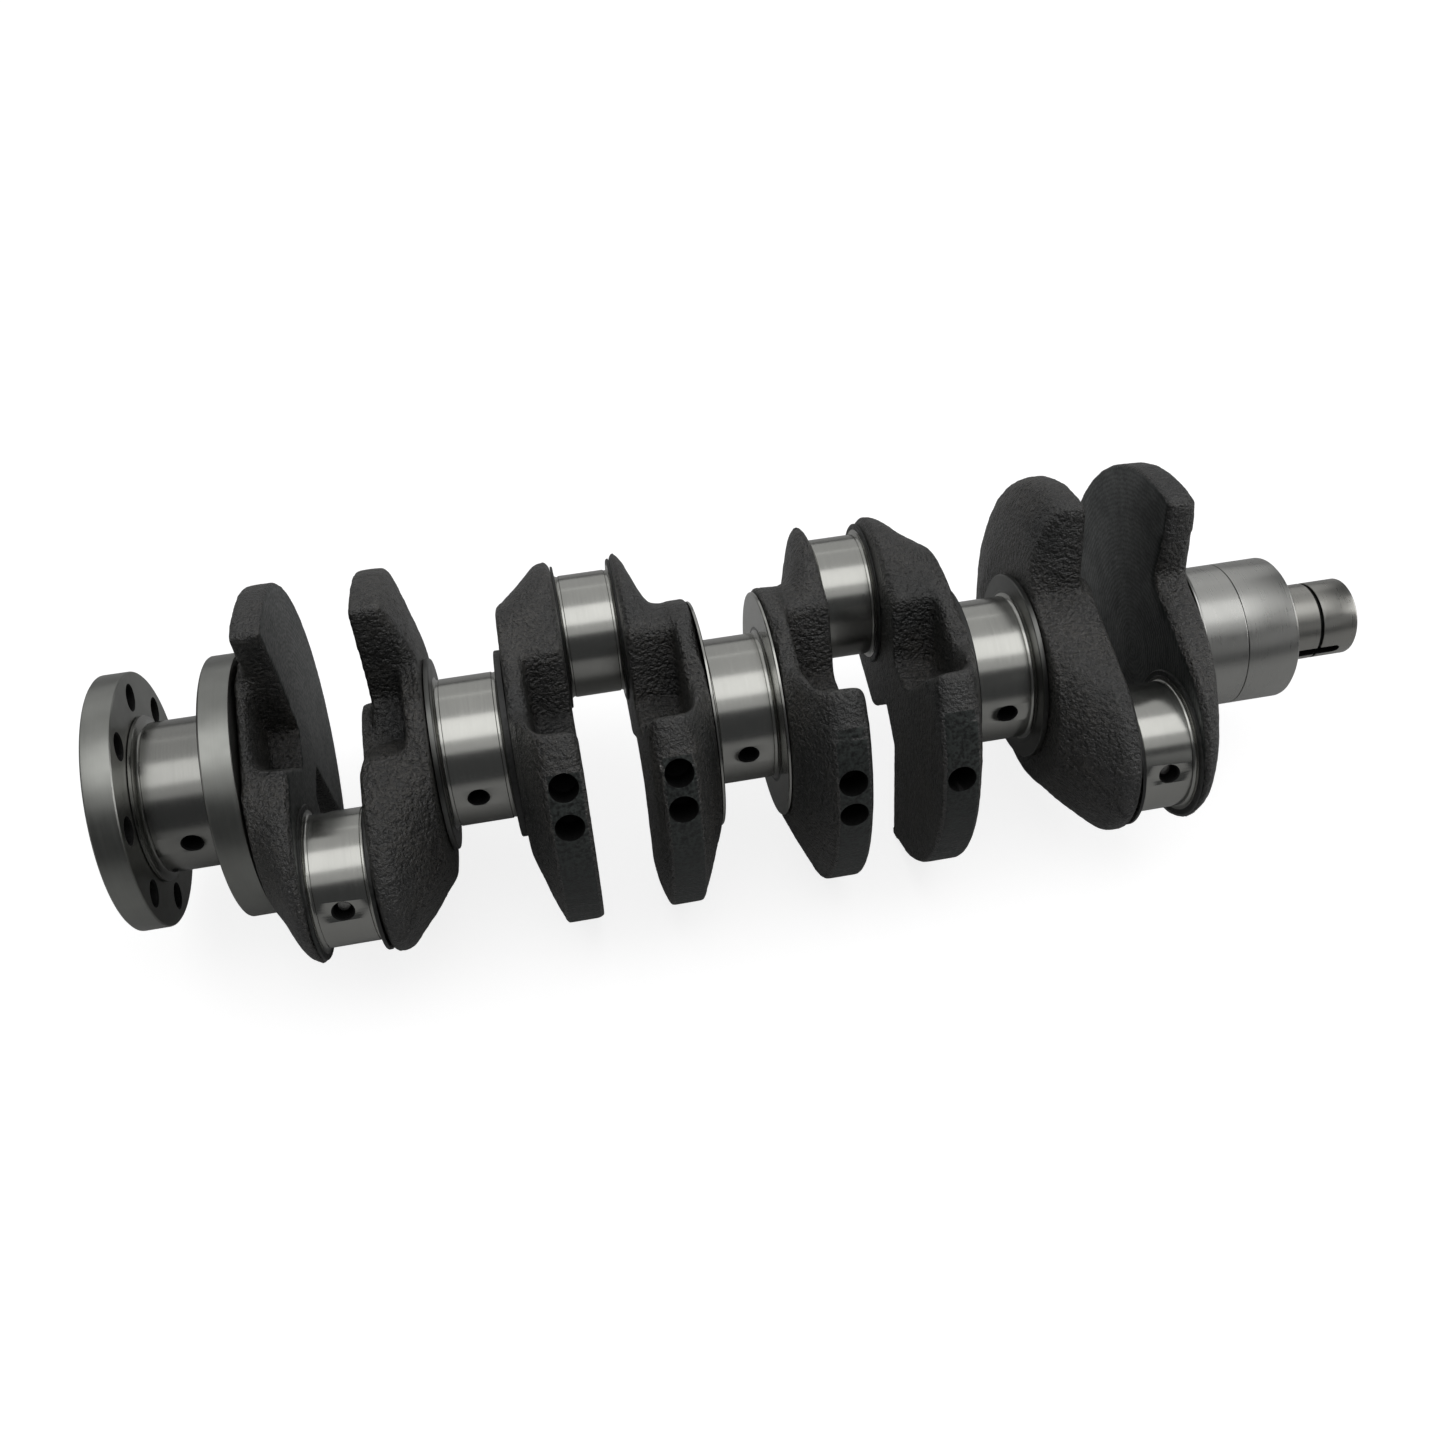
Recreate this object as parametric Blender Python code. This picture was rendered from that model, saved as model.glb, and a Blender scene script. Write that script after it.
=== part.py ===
"""Crankshaft of a small inline-four engine, lying on its counterweights.

The crank is built along X: flywheel flange first, nose last. Pins 1 and 4 are thrown to -Y and
pins 2 and 3 to +Y. Every length below is in millimetres; `MM` turns it into Blender's metres.
Each journal, pin, web and disc is a closed solid of its own, split where the forging's natural
features meet, with a hairline `GAP` between neighbours.
"""
import bpy
import bmesh
from math import atan2, cos, pi, radians, sin
from mathutils import Vector

MM = 0.001
GAP = 0.3

# Driving dimensions of the engine
PIN_1_X = 69.75          # flange's rear face to the first crankpin's centre
PIN_PITCH = 89.45        # cylinder to cylinder
THROW = 39.75            # half the stroke
MAIN_R = 25.0
PIN_R = 21.6
MAIN_HALF = 8.5          # half of a main journal's ground length
PIN_HALF = 9.05

# Flywheel end
FLANGE_R = 42.4
FLANGE_T = 9.3
BOLT_CIRCLE_R = 34.5
BOLT_HOLE_R = 4.1
BOLT_COUNT = 8
PILOT_R = 11.0
PILOT_DEPTH = 7.0
COLLAR_R = 43.5
COLLAR_X = (35.0, 44.8)
REAR_OIL_X = 23.7

# Nose end
FRONT_MAIN_X = (361.2, 379.4)
GEAR_SEAT_END = 398.4
NOSE_R = 13.5
NOSE_END = 426.6
NOSE_GROOVE_X = 413.0
NOSE_BOLT_R = 5.1
NOSE_BOLT_DEPTH = 24.0
NOSE_SPIGOT = 2.7        # how far the nose reaches into the gear seat's end
KEY_WIDTH = 4.0
KEY_END = 421.3
KEY_FLOOR_R = 10.9

# Webs, measured from the pin's centre plane towards the main journal (u)
CHEEK_HALF = 34.0
CHEEK_END = 65.7
OUTER_RIM_R = 64.7       # counterweights of webs 1, 2, 7 and 8
INNER_RIM_R = 63.0       # counterweights of webs 3 to 6
RING_R = 32.4            # polished shoulder beside a main journal
THRUST_R = 38.8          # thrust faces beside the centre main
PIN_RING_R = 25.2

# Drillings
OIL_HOLE_R = 3.1
OIL_HOLE_DEPTH = 11.0
MAIN_OIL_ANGLE = 160.0   # from +Y towards +Z
PIN_OIL_ANGLE = 145.0
PLUG_R = 2.7
PLUG_T = 3.0
PLUG_SET_BACK = 4.0
BALANCE_R = 4.5
BALANCE_DEPTH = 12.0

pin_x = [PIN_1_X + PIN_PITCH * k for k in range(4)]
main_x = [(pin_x[k] + pin_x[k + 1]) / 2 for k in range(3)]
throw_side = [-1, 1, 1, -1]


def clear_scene():
    for obj in list(bpy.data.objects):
        bpy.data.objects.remove(obj, do_unlink=True)


def make_material(name, colour, roughness, metallic):
    material = bpy.data.materials.new(name)
    material.use_nodes = True
    shader = material.node_tree.nodes["Principled BSDF"]
    shader.inputs["Base Color"].default_value = (*colour, 1.0)
    shader.inputs["Roughness"].default_value = roughness
    shader.inputs["Metallic"].default_value = metallic
    material.diffuse_color = (*colour, 1.0)
    return material


def finish_object(name, bm, material, smooth_angle=30.0):
    """Turn a bmesh in millimetres into a named object that hangs on the crank's axis."""
    bmesh.ops.recalc_face_normals(bm, faces=bm.faces)
    bmesh.ops.scale(bm, vec=(MM, MM, MM), verts=bm.verts)
    mesh = bpy.data.meshes.new(name)
    bm.to_mesh(mesh)
    bm.free()
    mesh.materials.append(material)
    mesh.shade_smooth()
    mesh.set_sharp_from_angle(angle=radians(smooth_angle))
    obj = bpy.data.objects.new(name, mesh)
    bpy.context.scene.collection.objects.link(obj)
    obj.parent = crank_axis
    return obj


def turned(name, profile, material, centre_y=0.0, segments=48):
    """Revolve (x, radius) steps about a line along X, as a lathe would leave them."""
    bm = bmesh.new()
    rings = []
    for x, radius in profile:
        ring = []
        for k in range(segments):
            a = 2 * pi * k / segments
            ring.append(bm.verts.new((x, centre_y + radius * cos(a), radius * sin(a))))
        rings.append(ring)
    for low, high in zip(rings, rings[1:]):
        for k in range(segments):
            n = (k + 1) % segments
            bm.faces.new((low[k], low[n], high[n], high[k]))
    bm.faces.new(rings[0])
    bm.faces.new(rings[-1])
    return finish_object(name, bm, material)


def cut_away(target, cutter):
    """Take a hidden cutter's shape out of a piece."""
    cutter.hide_render = True
    cutter.display_type = "WIRE"
    modifier = target.modifiers.new(cutter.name, "BOOLEAN")
    modifier.operation = "DIFFERENCE"
    modifier.solver = "EXACT"
    modifier.object = cutter


def drill(target, name, mouth, direction, radius, depth, segments=20):
    """Sink a round hole from a mouth point, 2 mm proud of it, along a direction."""
    along = Vector(direction).normalized()
    start = Vector(mouth) - along * 2.0
    end = Vector(mouth) + along * depth
    across = along.orthogonal().normalized()
    other = along.cross(across)
    bm = bmesh.new()
    rings = []
    for centre in (start, end):
        ring = []
        for k in range(segments):
            a = 2 * pi * (k + 0.5) / segments
            ring.append(bm.verts.new(centre + radius * (cos(a) * across + sin(a) * other)))
        rings.append(ring)
    for k in range(segments):
        n = (k + 1) % segments
        bm.faces.new((rings[0][k], rings[0][n], rings[1][n], rings[1][k]))
    bm.faces.new(rings[0])
    bm.faces.new(rings[1])
    cut_away(target, finish_object(name, bm, target.data.materials[0]))


def rim_point(radius, angle):
    return (radius * cos(radians(angle)), radius * sin(radians(angle)))


def web_outline(fan_r, fan_half, foot, floor, shoulder, end, half):
    """One slice of a web, as (v, w): v runs from the crank's axis towards the pin, w across.

    The fan is an arc about the axis, from its apex to half its angle. Then come the flank's foot,
    the waist's floor, the cheek's shoulder, its straight side, and its round end about the pin.
    Where the cheek has run out, the end is a boss that swells from the shoulder to its tip.
    """
    points = []
    for k in range(10):
        across, up = rim_point(fan_r, 180 - fan_half * k / 9)
        points.append((across, up))
    points += [foot, floor, (shoulder, half)]
    centre = end - half
    if centre > shoulder:
        for k in range(9):
            a = radians(90 - 90 * k / 8)
            points.append((centre + half * cos(a), half * sin(a)))
    else:
        start = atan2(half, shoulder)
        near = (shoulder * shoulder + half * half) ** 0.5
        for k in range(9):
            t = (k + 1) / 9
            radius = near + (end - near) * sin(pi * t / 2)
            points.append((radius * cos(start * (1 - t)), radius * sin(start * (1 - t))))
    mirrored = [(v, -w) for v, w in reversed(points[1:-1])]
    return points + mirrored


def forged_web(name, pin, side, slices, material):
    """Stack slices along X. `side` is +1 where the main journal lies towards +X of the pin."""
    bm = bmesh.new()
    rings = []
    for u, *shape in slices:
        x = pin_x[pin] + side * u
        ring = [bm.verts.new((x, throw_side[pin] * v, w)) for v, w in web_outline(*shape)]
        rings.append(ring)
    count = len(rings[0])
    for low, high in zip(rings, rings[1:]):
        for k in range(count):
            n = (k + 1) % count
            bm.faces.new((low[k], low[n], high[n], high[k]))
    caps = [bm.faces.new(rings[0]), bm.faces.new(rings[-1])]
    bmesh.ops.triangulate(bm, faces=caps, ngon_method="EAR_CLIP")
    return finish_object(name, bm, material, smooth_angle=24.0)


def boss(u, radius, end, half=CHEEK_HALF):
    """A slice whose fan has shrunk to a round boss about the main journal."""
    meet = radius * radius - half * half
    shoulder = meet ** 0.5
    return (u, radius, 70, rim_point(radius, 96), rim_point(radius, 109), shoulder, end, half)


def collar_side_web():
    """Web 1: thin machined fan with a deep waist, on a round boss beside the collar."""
    waist = ((-10.0, 13.0), (3.0, 10.0), 16.0)
    return [
        (10.2, OUTER_RIM_R - 0.6, 77, *waist, 63.5, 31.5),
        (11.4, OUTER_RIM_R, 78, *waist, 65.4, CHEEK_HALF),
        (14.5, OUTER_RIM_R, 78, *waist, 64.0, CHEEK_HALF),
        (17.5, OUTER_RIM_R, 78, *waist, 59.0, CHEEK_HALF),
        (20.2, OUTER_RIM_R - 0.4, 78, *waist, 53.0, CHEEK_HALF),
        boss(20.6, 42.2, 52.2),
        boss(24.65, 42.2, 45.0),
    ]


def seal_side_web():
    """Web 8: the same machined fan without the waist, tapering to the front main journal."""
    flank = ((-7.0, 45.0), (-5.5, 35.5), -3.0)
    return [
        (10.2, OUTER_RIM_R - 0.6, 77, *flank, 63.5, 31.5),
        (11.4, OUTER_RIM_R, 78, *flank, 65.4, CHEEK_HALF),
        (14.5, OUTER_RIM_R, 78, *flank, 64.0, CHEEK_HALF),
        (17.6, OUTER_RIM_R, 78, *flank, 57.5, CHEEK_HALF),
        (20.2, OUTER_RIM_R - 0.4, 77, *flank, 49.0, CHEEK_HALF),
        (21.6, 52.0, 72, (-7.0, 42.0), (-5.5, 35.5), -3.0, 42.0, 33.5),
        (22.4, 42.0, 70, rim_point(42.0, 108), (-5.5, 35.0), -3.0, 37.5, 32.5),
    ]


def waisted_outer_web():
    """Web 2: thick cheek, fan set back from the pin, waist open towards the pin."""
    waist = ((-9.0, 27.0), (4.0, 20.0), 17.5)
    return [
        (10.8, 20.5, 60, (-3.0, 20.3), (10.0, 21.0), 22.0, 63.4, 31.0),
        (12.4, 20.5, 60, (-3.0, 20.3), (8.0, 20.6), 19.0, CHEEK_END, CHEEK_HALF - 0.7),
        (15.0, 21.0, 62, (-3.0, 20.6), (5.0, 20.2), 18.0, CHEEK_END, CHEEK_HALF),
        (15.4, OUTER_RIM_R - 0.5, 74, *waist, CHEEK_END, CHEEK_HALF),
        (17.2, OUTER_RIM_R, 74, *waist, 65.0, CHEEK_HALF),
        (25.6, OUTER_RIM_R, 74, *waist, 54.0, CHEEK_HALF),
        (26.4, 62.4, 72, (-12.0, 37.6), (8.0, 36.5), 21.0, 52.8, CHEEK_HALF),
        (29.7, 52.0, 71, (-10.0, 38.0), (8.0, 37.4), 21.0, 47.5, CHEEK_HALF),
        boss(32.9, 40.4, 42.0),
    ]


def domed_outer_web():
    """Web 7: as web 2, with a full waist and a fan that is rounded over on its main side."""
    flank = ((-10.0, 46.0), (-5.0, 35.5), -3.0)
    return [
        (10.8, 21.0, 60, (-12.0, 30.0), (-8.0, 31.5), -5.0, 63.4, 31.0),
        (12.4, 23.0, 60, (-12.0, 32.0), (-7.0, 33.0), -4.0, CHEEK_END, CHEEK_HALF - 0.7),
        (15.0, 25.0, 62, (-12.0, 34.0), (-6.0, 34.5), -3.0, CHEEK_END, CHEEK_HALF),
        (15.4, OUTER_RIM_R - 0.5, 74, *flank, CHEEK_END, CHEEK_HALF),
        (17.2, OUTER_RIM_R, 74, *flank, 65.0, CHEEK_HALF),
        (23.0, OUTER_RIM_R, 74, *flank, 57.5, CHEEK_HALF),
        (26.0, 62.6, 73, *flank, 53.5, CHEEK_HALF),
        (29.0, 57.0, 72, (-11.0, 43.0), (-5.0, 35.5), -3.0, 48.5, CHEEK_HALF),
        (31.4, 49.5, 71, (-10.0, 40.5), (-5.0, 35.3), -3.0, 44.5, CHEEK_HALF),
        (32.9, 41.5, 70, rim_point(41.5, 106), (-5.0, 35.0), -3.0, 42.0, CHEEK_HALF),
    ]


def bevelled_inner_web():
    """Webs 3 and 6: thick bevelled cheek, fan flush with the pin side, open waist."""
    waist = ((-14.0, 18.0), (0.0, 13.0), 11.5)
    return [
        (10.3, INNER_RIM_R - 0.8, 60, *waist, 63.0, 31.0),
        (12.0, INNER_RIM_R, 61, *waist, CHEEK_END, CHEEK_HALF),
        (16.0, INNER_RIM_R, 61, *waist, 64.8, CHEEK_HALF),
        (22.4, INNER_RIM_R, 61, *waist, 57.0, CHEEK_HALF),
        (23.8, 60.6, 62, *waist, 55.6, CHEEK_HALF),
        (24.2, 59.8, 63, (-12.0, 36.0), (5.0, 37.4), 16.8, 55.2, CHEEK_HALF),
        (27.6, 49.5, 66, (-10.0, 37.0), (5.0, 37.6), 16.8, 52.0, CHEEK_HALF),
        boss(31.0, 38.4, 48.5),
    ]


def stepped_inner_web():
    """Webs 4 and 5: thin sloping cheek on a tall round boss, fan tapered on both sides."""
    waist = ((-14.0, 17.0), (0.0, 12.0), 14.5)
    return [
        (10.2, 55.5, 60, *waist, 63.2, 31.5),
        (11.6, 60.5, 61, *waist, CHEEK_END, CHEEK_HALF - 0.4),
        (12.6, INNER_RIM_R, 61, *waist, 65.2, CHEEK_HALF),
        (14.6, INNER_RIM_R, 61, *waist, 60.5, CHEEK_HALF),
        (17.4, INNER_RIM_R, 61, *waist, 51.5, CHEEK_HALF),
        (20.4, INNER_RIM_R, 61, *waist, 42.0, CHEEK_HALF),
        (23.2, INNER_RIM_R, 61, *waist, 40.6, CHEEK_HALF),
        (25.6, 58.2, 62, *waist, 40.4, CHEEK_HALF),
        (26.0, 57.4, 63, (-12.0, 38.2), (6.0, 39.8), 21.0, 40.3, CHEEK_HALF),
        (29.6, 49.0, 66, (-10.0, 38.7), (6.0, 39.8), 21.0, 40.3, CHEEK_HALF),
        boss(33.0, 40.2, 40.2),
    ]


def main_journal(name, centre, left_ring, right_ring, material):
    """A ground journal between two shoulder rings, each stepped down to the fillet."""
    reach = PIN_PITCH / 2 - 33.0 - GAP
    reach_left = reach + left_ring[1]
    reach_right = reach + right_ring[1]
    profile = [
        (centre - reach_left, left_ring[0]),
        (centre - left_ring[2], left_ring[0]),
        (centre - left_ring[2], MAIN_R + 3.2),
        (centre - MAIN_HALF - 0.4, MAIN_R + 2.4),
        (centre - MAIN_HALF, MAIN_R),
        (centre + MAIN_HALF, MAIN_R),
        (centre + MAIN_HALF + 0.4, MAIN_R + 2.4),
        (centre + right_ring[2], MAIN_R + 3.2),
        (centre + right_ring[2], right_ring[0]),
        (centre + reach_right, right_ring[0]),
    ]
    return turned(name, profile, material)


def crankpin(name, pin, material):
    """A ground pin with a narrow ring at each end, on its own thrown axis."""
    x = pin_x[pin]
    ring = PIN_HALF + 0.35
    profile = [
        (x - 9.9, PIN_RING_R),
        (x - ring, PIN_RING_R),
        (x - PIN_HALF, PIN_R),
        (x + PIN_HALF, PIN_R),
        (x + ring, PIN_RING_R),
        (x + 9.9, PIN_RING_R),
    ]
    return turned(name, profile, material, centre_y=throw_side[pin] * THROW)


def oil_direction(angle):
    """Inward direction of a radial drilling whose mouth is at this angle."""
    return (0.0, -cos(radians(angle)), -sin(radians(angle)))


def oil_hole(target, name, x, centre_y, radius, angle):
    mouth = (x, centre_y + radius * cos(radians(angle)), radius * sin(radians(angle)))
    drill(target, name, mouth, oil_direction(angle), OIL_HOLE_R, OIL_HOLE_DEPTH)


def gallery_plug(name, pin, angle, material):
    """A short plug pressed down the pin's oil hole, below the ground surface."""
    inward = Vector(oil_direction(angle))
    seat = Vector((pin_x[pin], throw_side[pin] * THROW, 0.0)) - inward * (PIN_R - PLUG_SET_BACK)
    across = inward.orthogonal().normalized()
    other = inward.cross(across)
    bm = bmesh.new()
    rings = []
    for depth, radius in ((0.0, PLUG_R - 0.8), (0.6, PLUG_R), (PLUG_T, PLUG_R)):
        ring = []
        for k in range(16):
            a = 2 * pi * k / 16
            ring.append(bm.verts.new(seat + inward * depth + radius * (cos(a) * across + sin(a) * other)))
        rings.append(ring)
    for low, high in zip(rings, rings[1:]):
        for k in range(16):
            n = (k + 1) % 16
            bm.faces.new((low[k], low[n], high[n], high[k]))
    bm.faces.new(rings[0])
    bm.faces.new(rings[-1])
    return finish_object(name, bm, material)


def balance_hole(web, name, x, angle_from_apex):
    """A radial hole in an inner web's rim; the fan's apex points to -Y."""
    a = radians(180 - angle_from_apex)
    mouth = (x, INNER_RIM_R * cos(a), INNER_RIM_R * sin(a))
    drill(web, name, mouth, (0.0, -cos(a), -sin(a)), BALANCE_R, BALANCE_DEPTH)


def keyway(target):
    """A round-ended slot, open at the shoulder, cut into the nose on the pin 1 side."""
    half = KEY_WIDTH / 2
    centre = KEY_END - half
    outline = [(GEAR_SEAT_END, -half)]
    for k in range(9):
        a = radians(-90 + 180 * k / 8)
        outline.append((centre + half * cos(a), half * sin(a)))
    outline.append((GEAR_SEAT_END, half))
    bm = bmesh.new()
    rings = []
    for y in (-NOSE_R - 3.0, -KEY_FLOOR_R):
        rings.append([bm.verts.new((x, y, z)) for x, z in outline])
    count = len(outline)
    for k in range(count):
        n = (k + 1) % count
        bm.faces.new((rings[0][k], rings[0][n], rings[1][n], rings[1][k]))
    bm.faces.new(rings[0])
    bm.faces.new(rings[1])
    cut_away(target, finish_object("cut_keyway", bm, target.data.materials[0]))


clear_scene()
crank_axis = bpy.data.objects.new("crank_axis", None)
bpy.context.scene.collection.objects.link(crank_axis)

forged = make_material("forged_skin", (0.075, 0.075, 0.078), 0.62, 0.85)
milled = make_material("milled_web", (0.12, 0.125, 0.13), 0.45, 0.9)
ground = make_material("ground_journal", (0.56, 0.55, 0.53), 0.22, 1.0)
turned_steel = make_material("turned_steel", (0.42, 0.42, 0.41), 0.34, 1.0)
plug_steel = make_material("plug_steel", (0.32, 0.31, 0.30), 0.4, 1.0)

# Flywheel end: bolted flange, rear main journal and the collar beside web 1
flange = turned(
    "flywheel_flange",
    [
        (0.0, FLANGE_R - 0.5),
        (0.5, FLANGE_R),
        (FLANGE_T - 0.4, FLANGE_R),
        (FLANGE_T, FLANGE_R - 0.4),
    ],
    turned_steel,
    segments=72,
)
for k in range(BOLT_COUNT):
    a = 2 * pi * k / BOLT_COUNT
    mouth = (0.0, BOLT_CIRCLE_R * cos(a), BOLT_CIRCLE_R * sin(a))
    drill(flange, f"cut_bolt_hole_{k + 1}", mouth, (1, 0, 0), BOLT_HOLE_R, FLANGE_T + 2.0)
drill(flange, "cut_pilot", (0, 0, 0), (1, 0, 0), PILOT_R, PILOT_DEPTH, segments=36)

rear_main = turned(
    "main_journal_1_rear",
    [
        (FLANGE_T + GAP, MAIN_R + 2.6),
        (FLANGE_T + 1.3, MAIN_R + 2.6),
        (FLANGE_T + 1.7, MAIN_R),
        (COLLAR_X[0] - 1.4, MAIN_R),
        (COLLAR_X[0] - 1.0, MAIN_R + 2.6),
        (COLLAR_X[0] - GAP, MAIN_R + 2.6),
    ],
    ground,
)
oil_hole(rear_main, "cut_oil_main_1", REAR_OIL_X, 0.0, MAIN_R, MAIN_OIL_ANGLE)

collar = turned(
    "rear_collar",
    [
        (COLLAR_X[0], COLLAR_R - 0.6),
        (COLLAR_X[0] + 0.6, COLLAR_R),
        (COLLAR_X[1] - 0.5, COLLAR_R),
        (COLLAR_X[1], COLLAR_R - 0.5),
    ],
    turned_steel,
    segments=72,
)

# Eight webs, from the collar to the front main journal
web_1 = forged_web("web_1", 0, -1, collar_side_web(), milled)
web_2 = forged_web("web_2", 0, 1, waisted_outer_web(), forged)
web_3 = forged_web("web_3", 1, -1, bevelled_inner_web(), forged)
web_4 = forged_web("web_4", 1, 1, stepped_inner_web(), forged)
web_5 = forged_web("web_5", 2, -1, stepped_inner_web(), forged)
web_6 = forged_web("web_6", 2, 1, bevelled_inner_web(), forged)
web_7 = forged_web("web_7", 3, -1, domed_outer_web(), forged)
web_8 = forged_web("web_8", 3, 1, seal_side_web(), milled)

rim_3 = pin_x[1] - 17.0
rim_4 = pin_x[1] + 17.9
rim_5 = pin_x[2] - 18.4
rim_6 = pin_x[2] + 16.4
balance_plan = [
    (web_3, rim_3, 45.0),
    (web_3, rim_3, 33.0),
    (web_4, rim_4, 44.0),
    (web_4, rim_4, 33.0),
    (web_5, rim_5, 32.5),
    (web_5, rim_5, 21.5),
    (web_6, rim_6, 28.0),
]
for number, (web, x, angle) in enumerate(balance_plan, 1):
    balance_hole(web, f"cut_balance_{number}", x, angle)

# Main journals 2 to 4, each as (ring radius, extra reach to its web, where its ring starts)
thick = (RING_R, 0.0, 9.7)
beside_bevel = (RING_R, 2.0, 10.4)
thrust = (THRUST_R, 0.0, 10.5)
rings_by_main = [(thick, beside_bevel), (thrust, thrust), (beside_bevel, thick)]
for k, (left, right) in enumerate(rings_by_main):
    journal = main_journal(f"main_journal_{k + 2}", main_x[k], left, right, ground)
    oil_hole(journal, f"cut_oil_main_{k + 2}", main_x[k], 0.0, MAIN_R, MAIN_OIL_ANGLE)

# Crankpins with their oil holes and plugs
for k in range(4):
    pin = crankpin(f"crankpin_{k + 1}", k, ground)
    angle = PIN_OIL_ANGLE if throw_side[k] < 0 else PIN_OIL_ANGLE - 180.0
    oil_hole(pin, f"cut_oil_pin_{k + 1}", pin_x[k], throw_side[k] * THROW, PIN_R, angle)
    gallery_plug(f"oil_plug_{k + 1}", k, angle, plug_steel)

# Front main journal, gear seat and nose
front_main = turned(
    "main_journal_5_front",
    [
        (FRONT_MAIN_X[0], RING_R - 1.2),
        (FRONT_MAIN_X[0] + 0.9, RING_R - 1.2),
        (FRONT_MAIN_X[0] + 1.1, MAIN_R + 2.0),
        (FRONT_MAIN_X[0] + 1.6, MAIN_R),
        (FRONT_MAIN_X[1], MAIN_R),
    ],
    ground,
)
gear_seat = turned(
    "gear_seat",
    [
        (FRONT_MAIN_X[1] + GAP, MAIN_R),
        (GEAR_SEAT_END - 1.0, MAIN_R),
        (GEAR_SEAT_END, MAIN_R - 1.0),
    ],
    ground,
)
# The seat's end is a ring, so that a pulley can slide over the nose and stand against it
socket_mouth = (GEAR_SEAT_END, 0.0, 0.0)
drill(gear_seat, "cut_socket", socket_mouth, (-1, 0, 0), NOSE_R + GAP, NOSE_SPIGOT + GAP, segments=48)
nose = turned(
    "nose",
    [
        (GEAR_SEAT_END - NOSE_SPIGOT, NOSE_R),
        (NOSE_GROOVE_X - 0.45, NOSE_R),
        (NOSE_GROOVE_X - 0.35, NOSE_R - 0.5),
        (NOSE_GROOVE_X + 0.35, NOSE_R - 0.5),
        (NOSE_GROOVE_X + 0.45, NOSE_R),
        (NOSE_END - 0.9, NOSE_R),
        (NOSE_END, NOSE_R - 0.9),
    ],
    ground,
)
keyway(nose)
drill(nose, "cut_nose_bolt", (NOSE_END, 0, 0), (-1, 0, 0), NOSE_BOLT_R, NOSE_BOLT_DEPTH)

# Lying pose: roll the crank until a fan corner on each side touches the bench
far_y, far_z = rim_point(OUTER_RIM_R, -78)
near_y, near_z = rim_point(INNER_RIM_R, -119)
roll = -atan2(far_z - near_z, far_y - near_y)
crank_axis.rotation_euler = (roll, 0.0, 0.0)
bpy.context.view_layer.update()

solids = [obj for obj in bpy.data.objects if obj.type == "MESH" and not obj.hide_render]
corners = [obj.matrix_world @ v.co for obj in solids for v in obj.data.vertices]
middle = [(min(c[i] for c in corners) + max(c[i] for c in corners)) / 2 for i in range(2)]
lowest = min(c.z for c in corners)
crank_axis.location = (-middle[0], -middle[1], -lowest)
bpy.context.view_layer.update()
print("pieces", len(solids), "roll", round(roll, 6), "axis", [round(c, 6) for c in crank_axis.location])
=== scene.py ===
# %% [markdown]
# # A forged crankshaft
#
# A crankshaft starts as a glowing bar that is hammered between two dies. The dies leave soft
# corners and a grainy dark skin. Only the places that run in a bearing, or that bolt to something,
# are then turned and ground to bright steel. So this scene needs two ways of making a piece: a
# lathe for everything round and bright, and a forge for everything dark and soft-cornered.
#
# The frame is loaded first. It holds the solid pieces at their real size, and nothing here moves
# them.

from math import atan2, cos, exp, pi, radians, sin

import bpy
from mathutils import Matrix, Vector


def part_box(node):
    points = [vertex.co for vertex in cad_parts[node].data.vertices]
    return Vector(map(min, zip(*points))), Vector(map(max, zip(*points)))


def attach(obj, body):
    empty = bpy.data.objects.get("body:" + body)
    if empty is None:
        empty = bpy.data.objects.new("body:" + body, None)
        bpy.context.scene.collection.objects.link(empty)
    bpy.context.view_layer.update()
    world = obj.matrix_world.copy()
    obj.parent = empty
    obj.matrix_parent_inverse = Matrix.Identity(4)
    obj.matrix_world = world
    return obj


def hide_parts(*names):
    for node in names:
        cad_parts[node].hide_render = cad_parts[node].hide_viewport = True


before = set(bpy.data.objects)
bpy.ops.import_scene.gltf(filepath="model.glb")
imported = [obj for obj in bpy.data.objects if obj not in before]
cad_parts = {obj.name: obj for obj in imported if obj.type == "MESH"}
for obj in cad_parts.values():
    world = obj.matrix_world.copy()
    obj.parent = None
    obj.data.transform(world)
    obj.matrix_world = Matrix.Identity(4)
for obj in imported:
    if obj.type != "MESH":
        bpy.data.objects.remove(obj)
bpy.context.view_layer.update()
print("frame nodes:", len(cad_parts))

# %% [markdown]
# The crank lies on its counterweights, so the plane that holds all its pins is rolled a little.
# Everything is easier to place if that is undone on paper: `along` is the distance from the
# flange's face, `toward` is the distance from the axis in the direction of pins 2 and 3, and
# `across` is at right angles to both. The directions come from the middles of the round nodes.

# %% Find the axis and the throw
MM = 0.001


def middle(node):
    low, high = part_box(node)
    return (low + high) / 2


FLANGE_FACE_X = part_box("flywheel_flange")[0].x
AXIS = middle("flywheel_flange").yz
PIN_CENTRES = [middle(f"crankpin_{k}") for k in range(1, 5)]
throw_line = (PIN_CENTRES[1].yz - PIN_CENTRES[0].yz).normalized()
TOWARD = Vector((0.0, throw_line.x, throw_line.y))
ACROSS = Vector((0.0, -throw_line.y, throw_line.x))
THROW = (PIN_CENTRES[0].yz - AXIS).length
ROLL = atan2(throw_line.y, throw_line.x)


def at(along, toward=0.0, across=0.0):
    """A place on the crank, given in millimetres."""
    start = Vector((FLANGE_FACE_X + along * MM, AXIS.x, AXIS.y))
    return start + toward * MM * TOWARD + across * MM * ACROSS


print(f"throw {THROW / MM:.2f} mm, roll {ROLL * 180 / pi:.2f} degrees")

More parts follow.
